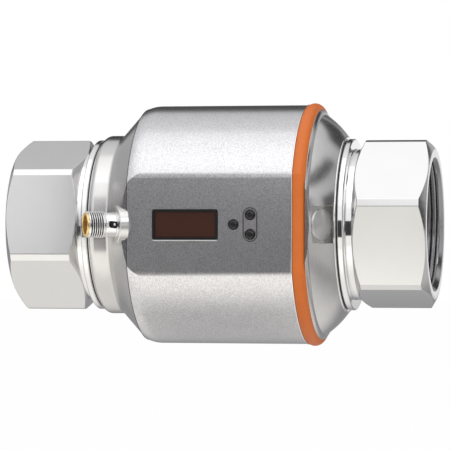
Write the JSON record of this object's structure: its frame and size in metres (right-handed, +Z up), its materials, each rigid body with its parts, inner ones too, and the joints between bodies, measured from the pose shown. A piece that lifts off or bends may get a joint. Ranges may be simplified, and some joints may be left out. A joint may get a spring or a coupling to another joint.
{
  "type": "electromagnetic flow meter",
  "caption": "Compact in-line electromagnetic flow meter with a round stainless housing, front display, keys, tilted plug socket and screwed hexagonal pipe adapters.",
  "frame": {"origin": "on the flow axis where the inlet's full thread wall starts", "axes": "+X along the flow from inlet to outlet, +Z up, the display faces -Y"},
  "size_m": [0.194, 0.1143, 0.1116],
  "materials": {
    "brushed_stainless": "satin",
    "turned_stainless": "bright",
    "polished_stainless": "polished",
    "tube_stainless": "satin",
    "black_rubber": "matt",
    "orange_seal": "satin",
    "liner_plastic": "matt",
    "black_plastic": "satin",
    "key_plastic": "gloss",
    "surround_plastic": "satin",
    "red_filter": "gloss",
    "board_laminate": "satin",
    "gold_metal": "polished",
    "insulator": "matt",
    "soft_iron": "satin",
    "copper_winding": "satin"
  },
  "bodies": {
    "meter_body": {"measuring_tube": "tube_stainless", "tube_liner": "liner_plastic", "left_adapter": "turned_stainless", "right_adapter": "turned_stainless", "left_face_seal": "black_rubber", "right_face_seal": "black_rubber", "left_collar_gasket": "black_rubber", "right_collar_gasket": "black_rubber", "left_end_cap": "brushed_stainless", "drum_shell": "brushed_stainless", "seal_ring": "orange_seal", "right_end_cap": "brushed_stainless", "cap_plug": "polished_stainless", "left_cap_o_ring": "black_rubber", "right_cap_o_ring": "black_rubber", "display_bezel": "black_plastic", "display_window": "red_filter", "display_module": "black_plastic", "key_surround": "surround_plastic", "key_switches": "black_plastic", "display_board": "board_laminate", "main_board": "board_laminate", "board_standoffs": "tube_stainless", "board_spacers": "tube_stainless", "board_screws": "tube_stainless", "board_link": "black_plastic", "connector_shell": "polished_stainless", "connector_insert": "gold_metal", "connector_pins": "gold_metal", "connector_key_pin": "black_plastic", "connector_o_ring": "black_rubber", "front_electrode": "tube_stainless", "back_electrode": "tube_stainless", "electrode_bushes": "insulator", "electrode_nuts": "tube_stainless", "upper_pole_shoe": "soft_iron", "lower_pole_shoe": "soft_iron", "upper_coil_bobbin": "insulator", "lower_coil_bobbin": "insulator", "upper_coil_winding": "copper_winding", "lower_coil_winding": "copper_winding", "return_yoke": "soft_iron", "yoke_screws": "tube_stainless"},
    "single_key_body": {"single_key": "key_plastic"},
    "upper_key_body": {"upper_key": "key_plastic"},
    "lower_key_body": {"lower_key": "key_plastic"}
  },
  "joints": [
    {"name": "single_key_press", "type": "slide", "parent": "meter_body", "child": "single_key_body", "axis": [0, 1, 0], "range_m": [0, 0.0005], "stiffness_N_per_m": 1500, "springref_m": -0.0005},
    {"name": "upper_key_press", "type": "slide", "parent": "meter_body", "child": "upper_key_body", "axis": [0, 1, 0], "range_m": [0, 0.0005], "stiffness_N_per_m": 1500, "springref_m": -0.0005},
    {"name": "lower_key_press", "type": "slide", "parent": "meter_body", "child": "lower_key_body", "axis": [0, 1, 0], "range_m": [0, 0.0005], "stiffness_N_per_m": 1500, "springref_m": -0.0005}
  ]
}
